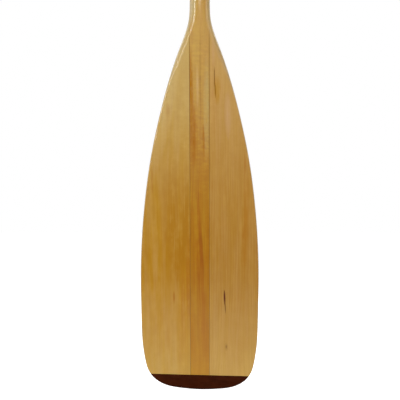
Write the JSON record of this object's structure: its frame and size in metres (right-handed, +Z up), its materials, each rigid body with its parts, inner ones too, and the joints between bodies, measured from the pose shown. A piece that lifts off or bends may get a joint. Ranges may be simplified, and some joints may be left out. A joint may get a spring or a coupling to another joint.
{
  "type": "canoe paddle",
  "caption": "Single-bladed wooden canoe paddle: oval shaft that runs on as the blade's centre stringer, broad round-cornered blade, palm grip and dark cast resin tip.",
  "frame": {"origin": "on the shaft's axis, at the level where the grip's shoulders rest on the two prongs of a paddle rack", "axes": "+Z up the shaft towards the top of the grip, with the blade hanging down; the blade's faces look towards -Y and +Y; +X across the blade, to the right as seen from -Y"},
  "size_m": [0.191, 0.0316, 1.4481],
  "materials": {
    "honey_wood": "gloss",
    "pale_wood": "gloss",
    "resin": "gloss"
  },
  "bodies": {
    "root": {"shaft_stringer": "honey_wood", "blade_board_left": "pale_wood", "blade_board_right": "pale_wood", "grip_cheek_left": "pale_wood", "grip_cheek_right": "pale_wood", "tip_guard": "resin"}
  },
  "joints": []
}
